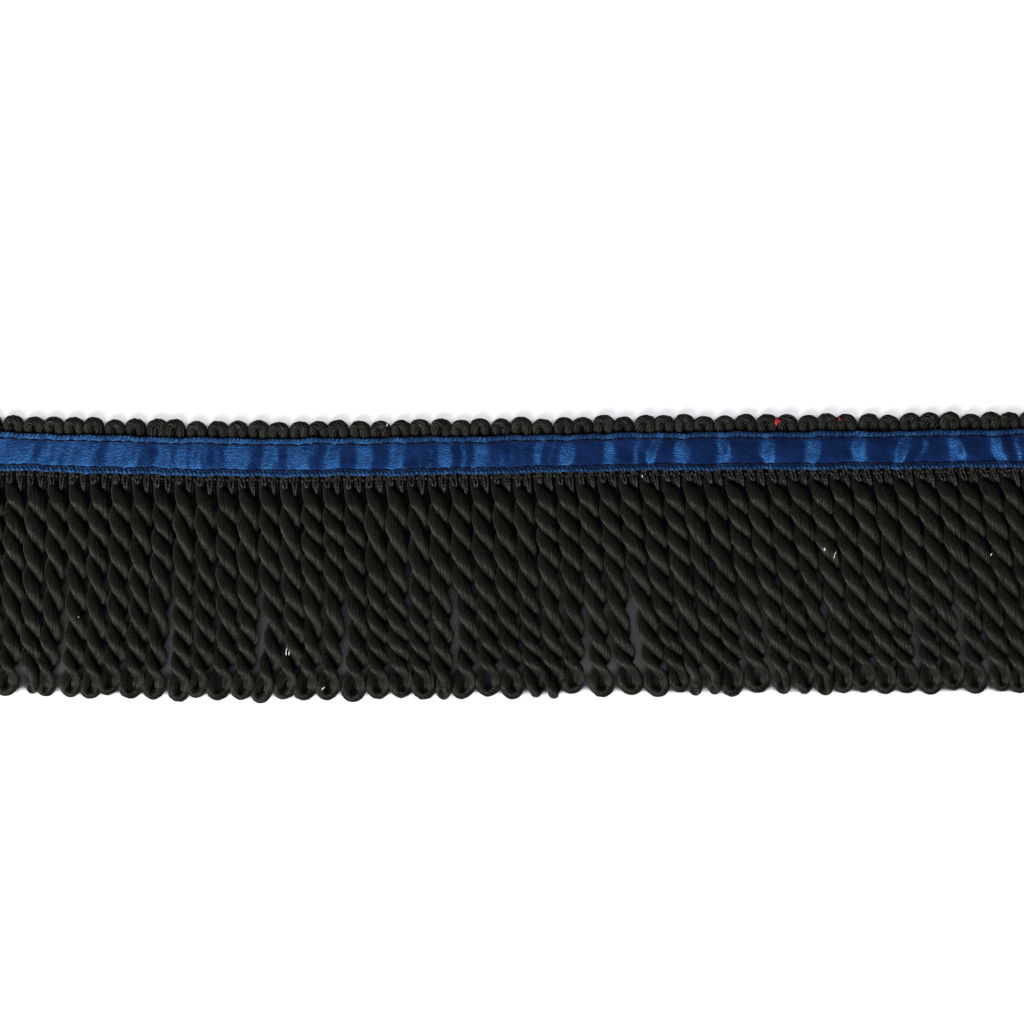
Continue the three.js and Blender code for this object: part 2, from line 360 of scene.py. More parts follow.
class YarnPile:
    """Gathers swept yarns into one mesh, with a filament map in millimetres and a tone for each yarn."""

    def __init__(self):
        self.points = []
        self.quads = []
        self.caps = []
        self.quad_map = []
        self.cap_map = []
        self.tones = []
        self.painted_ridge_light = []
        self.furrows = []
        self.count = 0

    def add(self, rings, tone, lobes=None, lobe_sides=0):
        """Adds one closed yarn, as rings from its start to its end, with a sharp furrow at each lobe."""
        ring_count, sides = rings.shape[:2]
        if lobes is None:
            lobes = np.full((ring_count, sides), 2.0)
        middle = rings.mean(axis=1)
        run = np.concatenate([[0], np.cumsum(np.linalg.norm(np.diff(middle, axis=0), axis=1))]) / MM
        girth = np.linalg.norm(rings[ring_count // 2] - np.roll(rings[ring_count // 2], 1, axis=0), axis=1)
        step = girth.sum() / sides / MM
        ring, side = np.meshgrid(np.arange(ring_count - 1), np.arange(sides), indexing="ij")
        ring = ring.ravel()
        side = side.ravel()
        after = (side + 1) % sides
        corners = [(ring, side), (ring, after), (ring + 1, after), (ring + 1, side)]
        self.quads.append(np.stack([self.count + r * sides + s for r, s in corners], axis=1))
        places = [(ring, side), (ring, side + 1), (ring + 1, side + 1), (ring + 1, side)]
        self.quad_map.append(np.stack([np.stack([run[r], s * step], axis=1) for r, s in places], axis=1))
        spokes = np.arange(sides)
        next_spokes = (spokes + 1) % sides
        first = self.count + ring_count * sides
        last = self.count + (ring_count - 1) * sides
        hub = np.full(sides, first)
        self.caps.append(np.stack([hub, self.count + next_spokes, self.count + spokes], axis=1))
        self.caps.append(np.stack([hub + 1, last + spokes, last + next_spokes], axis=1))
        flat = np.stack([spokes * step, spokes * step, spokes * step], axis=1)
        self.cap_map.append(np.stack([np.full((sides, 3), run[0]), flat], axis=2))
        self.cap_map.append(np.stack([np.full((sides, 3), run[-1]), flat], axis=2))
        self.points.append(np.concatenate([rings.reshape(-1, 3), middle[[0, -1]]]))
        self.tones.append(np.full(ring_count * sides + 2, tone))
        # Painted light and shade: high on each lobe's ridge and low in its furrows, so that the yarn's
        # colour and specular tint go lighter on the ridges and darker in the furrows.
        crown = 0.5 + 0.5 * (lobes - 1) / abs(lobes - 1).max()
        self.painted_ridge_light.append(np.concatenate([crown.ravel(), [0.5, 0.5]]))
        furrow = np.arange(sides) % lobe_sides == 0 if lobe_sides else np.zeros(sides, bool)
        self.furrows.append(np.concatenate([np.tile(furrow, ring_count), [False, False]]))
        self.count += ring_count * sides + 2

    def mesh(self, name):
        """The mesh of all the yarns, with their maps, tones, painted ridge light and furrow shade, and
        sharp furrows.
        """
        points = np.concatenate(self.points)
        quads = np.concatenate(self.quads)
        caps = np.concatenate(self.caps)
        corners = np.concatenate([quads.ravel(), caps.ravel()])
        starts = np.concatenate([np.arange(len(quads)) * 4, quads.size + np.arange(len(caps)) * 3])
        mesh = bpy.data.meshes.new(name)
        mesh.vertices.add(len(points))
        mesh.vertices.foreach_set("co", points.astype(np.float32).ravel())
        mesh.loops.add(len(corners))
        mesh.loops.foreach_set("vertex_index", corners.astype(np.int32))
        mesh.polygons.add(len(starts))
        mesh.polygons.foreach_set("loop_start", starts.astype(np.int32))
        mesh.update(calc_edges=True)
        places = np.concatenate([np.concatenate(m).reshape(-1, 2) for m in (self.quad_map, self.cap_map)])
        mesh.uv_layers.new(name="filament")
        mesh.uv_layers["filament"].uv.foreach_set("vector", places.astype(np.float32).ravel())
        for label, values in (("tone", self.tones), ("crown", self.painted_ridge_light)):
            layer = mesh.attributes.new(label, "FLOAT", "POINT")
            layer.data.foreach_set("value", np.concatenate(values).astype(np.float32))
        mesh.shade_smooth()
        ends = np.empty(len(mesh.edges) * 2, np.int32)
        mesh.edges.foreach_get("vertices", ends)
        furrows = np.concatenate(self.furrows)[ends].reshape(-1, 2).all(axis=1)
        sharp = mesh.attributes.new("sharp_edge", "BOOLEAN", "EDGE")
        sharp.data.foreach_set("value", furrows)
        if mesh.validate():
            raise ValueError(name + " has bad faces")
        return mesh


def yarn_rings(path, outward, depth, width, turn, ridges, tilt=0.0):
    """Rings round a path: half sizes outwards and across, and each ring's turn and lean."""
    tangent = unit(np.gradient(path, axis=0))
    outward = unit(outward - (outward * tangent).sum(axis=1, keepdims=True) * tangent)
    across = np.cross(tangent, outward)
    sides = ridges.shape[-1]
    angle = np.reshape(turn, (-1, 1)) + 2 * np.pi * np.arange(sides) / sides
    out = np.reshape(depth, (-1, 1)) * np.cos(angle) * ridges
    side = np.reshape(width, (-1, 1)) * np.sin(angle) * ridges
    tilt = np.reshape(tilt, (-1, 1))
    out, side = out * np.cos(tilt) + side * np.sin(tilt), side * np.cos(tilt) - out * np.sin(tilt)
    return path[:, None] + out[..., None] * outward[:, None] + side[..., None] * across[:, None]


def thread_rings(path, depth, width, sides, turn=0.0):
    """Rings round a plain thread that lies on the trim's face."""
    outward = np.tile([0.0, 0.0, 1.0], (len(path), 1))
    return yarn_rings(path, outward, depth, width, turn, np.ones(sides))


def lobed(chance, lobes, depth, sides, rings, lively=1.0):
    """Lobes round each ring, with a few sides from furrow to furrow, that swell and fade along the yarn."""
    hump = 2 * np.sin(np.pi * np.arange(sides) / sides) - 1
    bold = depth * chance.uniform(0.5, 1.5, lobes)
    pace = lively * chance.uniform(0.08, 0.3, lobes)
    waves = pace * np.arange(rings)[:, None] + chance.uniform(0, 6.3, lobes)
    swell = bold * (1 + 0.6 * np.sin(waves))
    return 1 + (swell[..., None] * hump).reshape(rings, -1)


def trim_settings(context):
    """The sizes and the colours that a user has set."""
    return context.scene.trim_sizes, context.scene.trim_colours


def place_piece(name, mesh, finish, node):
    """Makes the object of a finished mesh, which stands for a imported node."""
    piece = bpy.data.objects.new(name, mesh)
    bpy.context.scene.collection.objects.link(piece)
    mesh.materials.append(finish)
    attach(piece, "root")
    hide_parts(node)
    return piece


# Finishes


class Finish:
    """A material in the making: one Principled shader and the nodes that feed it."""

    def __init__(self, name):
        self.material = bpy.data.materials.new(name)
        self.material.use_nodes = True
        self.tree = self.material.node_tree
        self.shader = self.tree.nodes["Principled BSDF"]

    def feed(self, socket, value):
        """Links a node's output to a socket, or sets the socket to a plain value."""
        if isinstance(value, bpy.types.NodeSocket):
            self.tree.links.new(value, socket)
        else:
            socket.default_value = value

    def node(self, kind, inputs=None, **settings):
        made = self.tree.nodes.new(kind)
        for name, value in settings.items():
            setattr(made, name, value)
        for key, value in (inputs or {}).items():
            self.feed(made.inputs[key], value)
        return made

    def shade(self, **inputs):
        """Sets the shader's inputs, with underscores for the spaces in their names."""
        for name, value in inputs.items():
            self.feed(self.shader.inputs[name.replace("_", " ")], value)

    def math(self, operation, first, second=0.0):
        return self.node("ShaderNodeMath", {0: first, 1: second}, operation=operation).outputs[0]

    def times(self, first, second):
        return self.math("MULTIPLY", first, second)

    def plus(self, first, second):
        return self.math("ADD", first, second)

    def mapped(self, uv_map):
        """The two directions of a UV map."""
        places = self.node("ShaderNodeUVMap", uv_map=uv_map).outputs["UV"]
        parts = self.node("ShaderNodeSeparateXYZ", {0: places})
        return parts.outputs[0], parts.outputs[1]

    def layer(self, name):
        """A value kept with each point of the mesh."""
        return self.node("ShaderNodeAttribute", attribute_name=name).outputs["Fac"]

    def noise(self, x, y, z, detail=2.0):
        """Noise on three numbers, one unit to a lump."""
        place = self.node("ShaderNodeCombineXYZ", {0: x, 1: y, 2: z}).outputs[0]
        inputs = {"Vector": place, "Scale": 1.0, "Detail": detail, "Roughness": 0.5}
        return self.node("ShaderNodeTexNoise", inputs).outputs["Fac"]

    def remap(self, value, low, high, to_low=0.0, to_high=1.0):
        """A value moved from one range to another, and held at its ends."""
        inputs = {"Value": value, "From Min": low, "From Max": high, "To Min": to_low, "To Max": to_high}
        return self.node("ShaderNodeMapRange", inputs).outputs["Result"]

    def blend(self, share, first, second):
        """A colour between two colours."""
        made = self.node("ShaderNodeMix", data_type="RGBA")
        colours = [s for s in made.inputs if s.type == "RGBA"]
        self.feed(made.inputs["Factor"], share)
        for socket, value in zip(colours, (first, second)):
            self.feed(socket, value if isinstance(value, bpy.types.NodeSocket) else (*value, 1.0))
        return next(s for s in made.outputs if s.type == "RGBA")

    def bump(self, height, strength, distance):
        made = self.node("ShaderNodeBump", {"Height": height, "Strength": strength, "Distance": distance})
        self.shade(Normal=made.outputs["Normal"])

    def along_fibres(self, uv_map, amount):
        """Stretches highlights across fibres that run along the first direction of a UV map."""
        tangent = self.node("ShaderNodeTangent", direction_type="UV_MAP", uv_map=uv_map)
        self.shade(Tangent=tangent.outputs["Tangent"])
        self.shade(Anisotropic=amount, Anisotropic_Rotation=0.25)


def yarn_finish(
    name, dark, light, lustre, roughness, fibre, glint=(1.0, 1.0, 1.0), dash=0.8, tones=0.1, fuzz=0.0
):
    """Filament yarn: streaks and short dashes along the filaments, painted shade in the furrows between
    filament bundles and painted light on their ridges, fine grooves and a soft lustre.
    """
    finish = Finish(name)
    along, around = finish.mapped("filament")
    tone = finish.layer("tone")
    shift = finish.times(tone, 40.0)
    wide = finish.times(around, 2.0)
    streaks = finish.noise(finish.times(along, 0.16), wide, shift, detail=3.0)
    narrow = finish.times(wide, 2.2)
    grooves = finish.noise(finish.times(along, 0.3), narrow, shift, detail=2.0)
    dashes = finish.noise(finish.times(along, dash), narrow, 7.0, detail=1.0)
    # Painted shade in the furrows between filament bundles and painted light on their ridges, in the colour
    # and in the specular tint.
    crown = finish.remap(finish.layer("crown"), 0.1, 0.9, -0.2, 0.6)
    share = finish.plus(finish.remap(streaks, 0.35, 0.65, 0, 0.5), crown)
    share = finish.plus(share, finish.remap(tone, 0, 1, -tones, tones))
    share = finish.plus(share, finish.remap(dashes, 0.3, 0.7, -0.65, 0.65))
    finish.shade(
        Base_Color=finish.blend(share, dark, light),
        Roughness=finish.remap(streaks, 0.3, 0.7, roughness + 0.06, roughness - 0.06),
        Specular_IOR_Level=lustre,
        Specular_Tint=finish.blend(share, tuple(0.25 * value for value in glint), glint),
        Sheen_Weight=fuzz,
        Sheen_Roughness=0.5,
    )
    finish.bump(finish.plus(grooves, finish.times(dashes, 0.8)), 0.9, 0.1 * MM)
    finish.along_fibres("filament", fibre)
    return finish.material


def thread_finish(name, colour, lustre):
    """Fine twisted thread: slanting grooves and a mottled shade."""
    finish = Finish(name)
    along, around = finish.mapped("filament")
    twist = finish.plus(finish.times(along, 7.0), finish.times(around, 3.0))
    grooves = finish.math("SINE", twist)
    shift = finish.times(finish.layer("tone"), 40.0)
    patch = finish.noise(finish.times(along, 1.1), around, shift, detail=2.0)
    dark = tuple(0.3 * value for value in colour)
    finish.shade(
        Base_Color=finish.blend(finish.remap(patch, 0.35, 0.65), dark, colour),
        Roughness=0.55,
        Specular_IOR_Level=lustre,
    )
    finish.bump(grooves, 0.7, 0.06 * MM)
    return finish.material


def satin_finish(sizes, colours):
    """Satin: fine slanting floats, each a little different, with painted light on their tops and a
    stretched highlight.
    """
    finish = Finish("blue_satin")
    along, across = finish.mapped("weave")
    sway = finish.noise(finish.times(along, 0.4), finish.times(across, 0.5), 2.0)
    slant = finish.plus(finish.times(along, 0.4), across)
    row_place = finish.plus(finish.math("DIVIDE", slant, 0.62), finish.times(sway, 2.0))
    row = finish.math("FLOOR", row_place)
    waver = finish.noise(finish.times(along, 0.35), finish.times(row, 3.7), 3.0)
    stagger = finish.plus(finish.times(row, 0.4), waver)
    float_place = finish.plus(finish.math("DIVIDE", along, 1.2), stagger)
    cell = finish.node("ShaderNodeCombineXYZ", {0: finish.math("FLOOR", float_place), 1: row}).outputs[0]
    dice = finish.node("ShaderNodeTexWhiteNoise", {"Vector": cell}, noise_dimensions="2D")
    chance = dice.outputs["Value"]
    hump = finish.math("SINE", finish.times(finish.math("FRACT", row_place), math.pi))
    run = finish.math("SINE", finish.times(finish.math("FRACT", float_place), math.pi))
    pillow = finish.times(hump, run)
    # Each float's height, which raises its bump and also paints light on its top and shade between floats:
    # a lighter colour and a stronger specular tint where the float stands tall.
    float_height_and_painted_light = finish.times(pillow, finish.remap(chance, 0, 1, 0.25, 1.0))
    grain = finish.noise(finish.times(along, 0.5), finish.times(across, 2.3), 0.0)
    patches = finish.noise(finish.times(along, 0.12), finish.times(across, 0.3), 5.0)
    shade = finish.plus(finish.times(float_height_and_painted_light, 0.5), finish.remap(patches, 0.3, 0.7, 0, 0.8))
    face = finish.blend(shade, colours.satin_dark, colours.satin_light)
    sewn = sizes.stitch_line / MM
    edge = finish.remap(finish.math("ABSOLUTE", across), sewn, sewn + 0.2)
    finish.shade(
        Base_Color=finish.blend(edge, face, colours.selvedge_dark),
        Roughness=finish.remap(chance, 0, 1, 0.36, 0.44),
        Specular_IOR_Level=0.64,
        Specular_Tint=finish.blend(finish.remap(float_height_and_painted_light, 0.05, 0.6), (0.035, 0.19, 0.6), (0.09, 0.46, 1.0)),
    )
    finish.bump(finish.plus(grain, finish.times(float_height_and_painted_light, 0.1)), 1.0, 0.17 * MM)
    finish.along_fibres("weave", 0.9)
    return finish.material


def ground_finish(colours):
    """Plain black weave: ribs along the heading crossed by fine picks."""
    finish = Finish("black_ground")
    along, across = finish.mapped("weave")
    ribs = finish.math("SINE", finish.times(across, 7.0))
    picks = finish.math("SINE", finish.times(along, 9.0))
    weave = finish.times(ribs, picks)
    finish.shade(
        Base_Color=finish.blend(finish.remap(weave, -1, 1), colours.cord_dark, colours.cord_light),
        Roughness=0.75,
        Specular_IOR_Level=0.25,
    )
    finish.bump(weave, 0.6, 0.1 * MM)
    return finish.material


def floor_finish(colours):
    """Plain pale floor with the faintest mottling and a painted glow, with painted shade where the skirt
    covers it, by place and by ambient occlusion.
    """
    finish = Finish("pale_floor")
    place = finish.node("ShaderNodeTexCoord").outputs["Object"]
    mottle = finish.node("ShaderNodeTexNoise", {"Vector": place, "Scale": 6.0, "Detail": 2.0})
    dimmer = tuple(0.985 * value for value in colours.floor)
    plain = finish.blend(mottle.outputs["Fac"], dimmer, colours.floor)
    # Painted shade: the floor's colour and glow go dark under the skirt and in the gaps between the cords,
    # by place and by ambient occlusion, and a little less dark in the gaps lower down.
    up = finish.node("ShaderNodeSeparateXYZ", {0: place}).outputs[1]
    under = finish.times(finish.remap(up, -64 * MM, -61 * MM), finish.remap(up, 4 * MM, -4 * MM))
    openness = finish.node("ShaderNodeAmbientOcclusion", {"Distance": 7 * MM}, samples=8).outputs["AO"]
    painted_light_share = finish.remap(finish.math("SUBTRACT", openness, finish.times(under, 0.45)), 0.3, 0.55)
    painted_gap_light = finish.remap(up, -24 * MM, -40 * MM, 0.05, 0.45)
    painted_gap_light = finish.times(painted_gap_light, finish.remap(up, -57 * MM, -59 * MM, 1.0, 0.3))
    gap = finish.times(finish.math("POWER", openness, 2.0), painted_gap_light)
    level = finish.math("MAXIMUM", painted_light_share, gap)
    black = (0.0, 0.0, 0.0)
    finish.shade(
        Base_Color=finish.blend(level, black, plain),
        # Painted glow, so that the floor's shadows stay pale; the painted shade dims it too.
        Emission_Color=finish.blend(level, black, colours.glow),
        Emission_Strength=1.0,
        Roughness=0.9,
        Specular_IOR_Level=0.0,
    )
    return finish.material


# Cords


def cord_swing(index, place, reach=0):
    """How far a cord swings sideways by its waist or foot, evened out with the cords within reach."""
    near = np.arange(index - reach, index + reach + 1)
    swings = np.interp(near, [row.cord for row in SWING], [getattr(row, place) for row in SWING])
    return swings.mean() * MM


def cord_crowding(index, pitch):
    """How much room a cord's foot has between its neighbours, as a share of a straight cord's room."""
    swing = cord_swing(index, "foot")
    squeeze = min(swing - cord_swing(index - 1, "foot"), cord_swing(index + 1, "foot") - swing)
    return min(1.0, 1 + squeeze / pitch)


def cord_share(down, foot):
    """How far down its twisted part a cord is, from 0 to 1."""
    return np.clip((down - CORD_START) / (foot - CORD_START), 0, 1)


def cord_twist(sizes, down, foot, turn_end, chance):
    """The angle of a cord's twist, which strays a little and ends as the loop lies."""
    quarters = np.array(list(TWIST), float)
    places = np.array(list(TWIST.values())) * MM
    places = CORD_START + (places - CORD_START) * (foot - CORD_START) / (places[-1] - CORD_START)
    share = cord_share(down, foot)
    phase = np.pi / 2 * (1 + ease(down, places, quarters))
    stray_twist = jitter(chance, math.radians(90)) * np.sin(np.pi * np.clip(share / 0.92, 0, 1)) ** 2
    phase = phase + stray_twist + turn_end * share**6
    return phase - sizes.linger * np.sin(2 * phase) * (1 - share**6)


def cord_middle(index, root, down, foot, tip_height, chance):
    """The middle of a cord, which swings sideways, wavers a little, and settles at its loop."""
    share = cord_share(down, foot)
    waver = chance.uniform(0, 2 * np.pi)
    above_waist = 0.5 * cord_swing(index, "waist", reach=3)
    leans = [0, above_waist, cord_swing(index, "waist"), cord_swing(index, "foot")]
    x = root + ease(down, [CORD_START, 30 * MM, WAIST, foot], leans)
    x = x + 0.15 * MM * share * np.sin(5 * share + waver)
    y = rise_at(root) - down
    sink = [CORD_START - 0.4 * MM, CORD_START + 4.5 * MM, foot - 4.8 * MM, foot + 1.6 * MM]
    z = soft_steps(down, sink, [BUNDLE_HEIGHT, CORD_HEIGHT, CORD_END_HEIGHT, tip_height])
    return np.stack([x, y, z], axis=1)


def ply_sizes(sizes, down, foot, loop):
    """How far a ply lies from its cord's middle, its half sizes outwards and across, and its lean."""
    # Four stops down the cord: bound in the heading, twisted, still twisted above the loop, and looped.
    stops = [CORD_START - 0.4 * MM, CORD_START + 4.5 * MM, foot - 9 * MM, foot - 2.2 * MM]
    offset = soft_steps(down, stops, [sizes.foot_offset, sizes.ply_offset, sizes.ply_offset, loop])
    waist = 1 - 0.14 * np.exp(-(((down - CORD_START) / (1.3 * MM)) ** 2))
    deep = [sizes.foot_ply, sizes.ply_depth, sizes.ply_depth, sizes.tip_ply]
    wide = [sizes.foot_ply, 1.05 * sizes.ply_width, 0.94 * sizes.ply_width, sizes.tip_ply]
    lean = sizes.ply_tilt * soft_steps(down, stops, [0, 1, 1, 0])
    return offset, soft_steps(down, stops, deep) * waist, soft_steps(down, stops, wide) * waist, lean


def ply_path(middle, offset, phase, loop):
    """A ply's path down its cord, round the loop and back up, and which way is out all along it."""
    out = np.stack([np.sin(phase), np.zeros_like(phase), np.cos(phase)], axis=1)
    bend = LOOP_ANGLES[:, None]
    tip_down = unit(middle[-1] - middle[-3])
    tip_out = np.cos(bend) * out[-1] + np.sin(bend) * tip_down
    aside = offset[:, None] * out
    path = np.concatenate([middle + aside, middle[-1] + loop * tip_out, (middle - aside)[::-1]])
    return path, np.concatenate([out, tip_out, -out[::-1]])


def ply_winding(phase):
    """How far a ply has wound round its cord, all along its path."""
    winding = phase - phase[0]
    round_tip = winding[-1] + 0.8 * LOOP_ANGLES
    back_up = winding[-1] + 0.8 * np.pi + (winding[-1] - winding)[::-1]
    return np.concatenate([winding, round_tip, back_up])


def cord_rings(sizes, index, chance):
    """One cord: a ply that runs down, round the loop at the tip and back up, twisted on itself."""
    pitch = sizes.length / sizes.cord_count
    root = (index + 0.5) * pitch - sizes.length / 2
    drop = sizes.cord_drop + sizes.cord_uneven * uneven(index)
    loop = sizes.tip_loop * cord_crowding(index, pitch) * chance.uniform(0.92, 1.08)
    turn_end = jitter(chance, math.radians(22))
    if index in NARROW_LOOPS:
        turn_end = math.copysign(math.acos(NARROW_LOOPS[index]), turn_end)
    foot = drop - loop - sizes.tip_ply
    hidden = np.linspace(-2.4 * MM, CORD_START, 8, endpoint=False)
    down = np.concatenate([hidden, np.linspace(CORD_START, foot, 78)])
    phase = cord_twist(sizes, down, foot, turn_end, chance)
    tip_height = sizes.tip_ply + loop * abs(math.sin(turn_end)) * 0.8 + 0.1 * MM
    middle = cord_middle(index, root, down, foot, tip_height, chance)
    offset, depth, width, lean = ply_sizes(sizes, down, foot, loop)
    path, outward = ply_path(middle, offset, phase, loop)
    tip = np.full(len(LOOP_ANGLES), sizes.tip_ply)
    depth = np.concatenate([depth, tip, depth[::-1]])
    width = np.concatenate([width, tip, width[::-1]])
    tilt = np.concatenate([lean, np.zeros(len(tip)), -lean[::-1]])
    run = np.arange(len(path)) + chance.uniform(0, 200)
    swell = 1 + 0.07 * np.sin(0.31 * run) + 0.06 * np.sin(0.13 * run + 1)
    turn = sizes.filament_lean * ply_winding(phase) + 0.3 * np.sin(0.17 * run + 2)
    lobes = lobed(chance, sizes.filaments, 0.09, 2, len(path))
    rings = yarn_rings(path, outward, depth * swell, width * swell, turn, lobes, tilt)
    rings[..., 2] = np.maximum(rings[..., 2], LOWEST)
    return rings, lobes


class TRIM_OT_bullion_cords(Operator):
    """Make the skirt of twisted cords, in four lengths"""

    bl_idname = "trim.bullion_cords"
    bl_label = "Bullion Cords"

    def execute(self, context):
        sizes, colours = trim_settings(context)
        dark, light = colours.cord_dark, colours.cord_light
        glint = (1.0, 1.0, 0.86)
        finish = yarn_finish("black_cord_yarn", dark, light, 0.24, 0.63, 0.84, glint, dash=1.9, fuzz=0.035)
        chance = np.random.default_rng(SEED)
        groups = np.array_split(np.arange(sizes.cord_count), 4)
        for number, group in enumerate(groups, 1):
            pile = YarnPile()
            for index in group:
                rings, lobes = cord_rings(sizes, int(index), chance)
                pile.add(rings, chance.uniform(), lobes, lobe_sides=2)
            name = f"bullion_cords_{number}"
            place_piece(name, pile.mesh(name), finish, "bullion_fringe")
        return {"FINISHED"}


# Heading


def bundle_places(sizes):
    """Where the plies of the cords pass through the heading."""
    pitch = sizes.length / sizes.cord_count
    roots = (np.arange(sizes.cord_count) + 0.5) * pitch - sizes.length / 2
    return np.sort(np.concatenate([roots - sizes.foot_offset, roots + sizes.foot_offset]))


def binding_rings(sizes, along, long, aside, chance):
    """A binding thread that comes down over a bundle, round under its waist and up again."""
    spread = 0.52 * MM * chance.uniform(0.8, 1.2)
    lean = aside + jitter(chance, 0.3 * MM)
    low = TAPE_FOOT + (-1.1 if long else 0.4) * MM + jitter(chance, 0.8 * MM)
    high = -4.4 * MM
    drops = np.array([0.6, 1.2, 2.0, 2.8]) * MM / (high - low)
    fall = np.concatenate([[0], drops, [0.84, 1.0, 0.84], drops[::-1], [0]])
    opening = [0.5, 0.9, 0.75, 0.25] if long else [0.5, 0.8, 1.0, 0.5]
    side = spread * np.interp(fall, [0, 0.3, 0.55, 1.0], opening)
    side[7:] = -side[7:]
    side = side + jitter(chance, 0.12 * MM, len(fall))
    up = high + (low - high) * fall
    crown = np.sqrt(np.maximum(sizes.foot_ply**2 - side**2, 0))
    heights = np.array([-0.2, 0.4, -0.35, 0.2, 0.3, 0.35, -0.5]) * MM
    humps = np.concatenate([heights, heights[-2::-1]]) + (0.9 if long else 0.3) * MM * fall
    z = BUNDLE_HEIGHT + crown + 0.4 * sizes.binding_radius - 0.18 * MM + humps
    x = along + side + lean * fall**1.5
    path = np.stack([x, up + rise_at(along), z], axis=1)
    taper = 1 - (0.35 if long else 0.2) * fall**2
    thick = sizes.binding_radius * chance.uniform(0.8, 1.15) * taper
    return thread_rings(path, thick, thick, 4, turn=np.pi / 4)


def knot_rings(sizes, along, chance):
    """A small stitch just under the ribbon, one of a close row."""
    share = np.linspace(-1, 1, 5)
    middle = jitter(chance, 0.25 * MM) - sizes.knot_drop
    half = 0.55 * MM * chance.uniform(0.7, 1.3)
    x = along + jitter(chance, 0.25 * MM) + jitter(chance, 0.2 * MM) * share
    z = 2.75 * MM + jitter(chance, 0.2 * MM) - 0.25 * MM * share**2
    path = np.stack([x, middle - half * share + rise_at(along), z], axis=1)
    thick = sizes.knot_radius * round_ends(share) * chance.uniform(0.75, 1.2)
    return thread_rings(path, thick, thick, 5)


class TRIM_OT_binding_threads(Operator):
    """Make the threads that bind the cords into the heading, one over each ply, and a row of knots"""

    bl_idname = "trim.binding_threads"
    bl_label = "Binding Threads"

    def execute(self, context):
        sizes, colours = trim_settings(context)
        chance = np.random.default_rng(SEED + 1)
        pile = YarnPile()
        bundles = bundle_places(sizes)
        for number, along in enumerate(bundles):
            long = number % 2 == 1 and number < len(bundles) - 1
            aside = 0.17 * cord_swing(number // 2, "waist", reach=3)
            pile.add(binding_rings(sizes, along, long, aside, chance), chance.uniform())
        edge = sizes.length / 2 - sizes.knot_pitch
        for along in np.arange(-edge, edge, sizes.knot_pitch):
            pile.add(knot_rings(sizes, along, chance), chance.uniform())
        finish = thread_finish("black_binding_thread", colours.binding, 0.2)
        place_piece("binding_threads", pile.mesh("binding_threads"), finish, "heading_tape")
        return {"FINISHED"}


def scallop_rings(sizes, index, chance):
    """One gimp loop: up out of the heading, over in an arch and down again."""
    pitch = sizes.length / sizes.loop_count
    middle = (index + 0.5) * pitch - sizes.length / 2 + jitter(chance, 0.2 * MM)
    crest = sizes.loop_crest + sizes.loop_uneven * (uneven(index) + jitter(chance, 0.4))
    radius = sizes.loop_radius * chance.uniform(0.95, 1.05)
    rise = sizes.loop_squash * radius
    top = crest - rise - sizes.gimp_radius
    root = 2.0 * MM
    leg = np.linspace(root, top, 6, endpoint=False)
    bend = np.linspace(0, np.pi, 15)
    x = np.concatenate([np.full(6, -radius), -radius * np.cos(bend), np.full(6, radius)])
    y = np.concatenate([leg, top + rise * np.sin(bend), leg[::-1]])
    lean = jitter(chance, 0.07)
    z = soft_steps(y, np.array([4.4, 6.6]) * MM, np.array([1.35, 1.65]) * MM)
    z = z + jitter(chance, 0.15 * MM) * np.sin(np.pi * (y - root) / (crest - root))
    path = np.stack([middle + x + lean * (y - root), y + rise_at(middle), z], axis=1)
    outward = np.concatenate([
        np.tile([-1.0, 0.0, 0.0], (6, 1)),
        unit(np.stack([-rise * np.cos(bend), radius * np.sin(bend), 0 * bend], axis=1)),
        np.tile([1.0, 0.0, 0.0], (6, 1)),
    ])
    run = np.linspace(0, 1, len(path))
    turn = chance.uniform(0, 2 * np.pi) + chance.uniform(5, 9) * run
    turn = turn + 0.4 * np.sin(chance.uniform(9, 16) * run + chance.uniform(0, 6.3))
    thick = sizes.gimp_radius * chance.uniform(0.95, 1.05)
    lobes = lobed(chance, 8, 0.11, 3, len(path), lively=4.0)
    rings = yarn_rings(path, outward, thick, thick, turn, lobes)
    rings[..., 2] = np.maximum(rings[..., 2], LOWEST)
    return rings, lobes


class TRIM_OT_scallop_loops(Operator):
    """Make the gimp loops along the top of the heading"""

    bl_idname = "trim.scallop_loops"
    bl_label = "Scallop Loops"

    def execute(self, context):
        sizes, colours = trim_settings(context)
        chance = np.random.default_rng(SEED + 2)
        pile = YarnPile()
        for index in range(sizes.loop_count):
            rings, lobes = scallop_rings(sizes, index, chance)
            pile.add(rings, chance.uniform(), lobes, lobe_sides=3)
        dark, light = colours.gimp_dark, colours.gimp_light
        finish = yarn_finish("black_gimp_yarn", dark, light, 0.17, 0.6, fibre=0.5, dash=3.0)
        place_piece("scallop_loops", pile.mesh("scallop_loops"), finish, "scallop_edge")
        return {"FINISHED"}


def laid_sheet(name, length, low, high, steps, rows, reshape):
    """A sheet along the trim: a grid, shaped by a function, with a map of its weave."""
    build = bmesh.new()
    bmesh.ops.create_grid(build, x_segments=steps, y_segments=rows, size=0.5)
    flat = np.array([vertex.co for vertex in build.verts])
    flat = np.stack([flat[:, 0] * length, low + (flat[:, 1] + 0.5) * (high - low)], axis=1)
    weave = build.loops.layers.uv.new("weave")
    for vertex, place, point in zip(build.verts, flat, reshape(flat[:, 0], flat[:, 1])):
        vertex.co = point
        for loop in vertex.link_loops:
            loop[weave].uv = place / MM
    mesh = bpy.data.meshes.new(name)
    build.to_mesh(mesh)
    build.free()
    mesh.shade_smooth()
    return mesh


